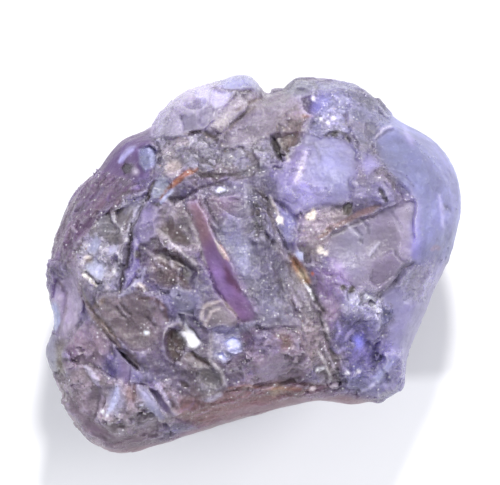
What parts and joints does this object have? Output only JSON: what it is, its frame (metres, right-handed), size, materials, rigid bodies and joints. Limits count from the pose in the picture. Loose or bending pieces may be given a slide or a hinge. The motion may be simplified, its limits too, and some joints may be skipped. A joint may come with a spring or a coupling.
{
  "type": "rough tanzanite crystal",
  "caption": "Lump of rough translucent violet-blue tanzanite with broken and stepped faces, resting on a flat cleavage face.",
  "frame": {"origin": "middle of the lump's footprint box, on the surface that it rests on", "axes": "+Z out of the broad face that is seen, the lump's thickness; +X along its longest side; +Y towards the top of the broad face"},
  "size_m": [0.0262, 0.0238, 0.0155],
  "materials": {
    "tanzanite": "translucent violet-blue, vitreous on broken faces and frosted on worn ones"
  },
  "bodies": {
    "root": {"tanzanite_crystal": "tanzanite"}
  },
  "joints": []
}
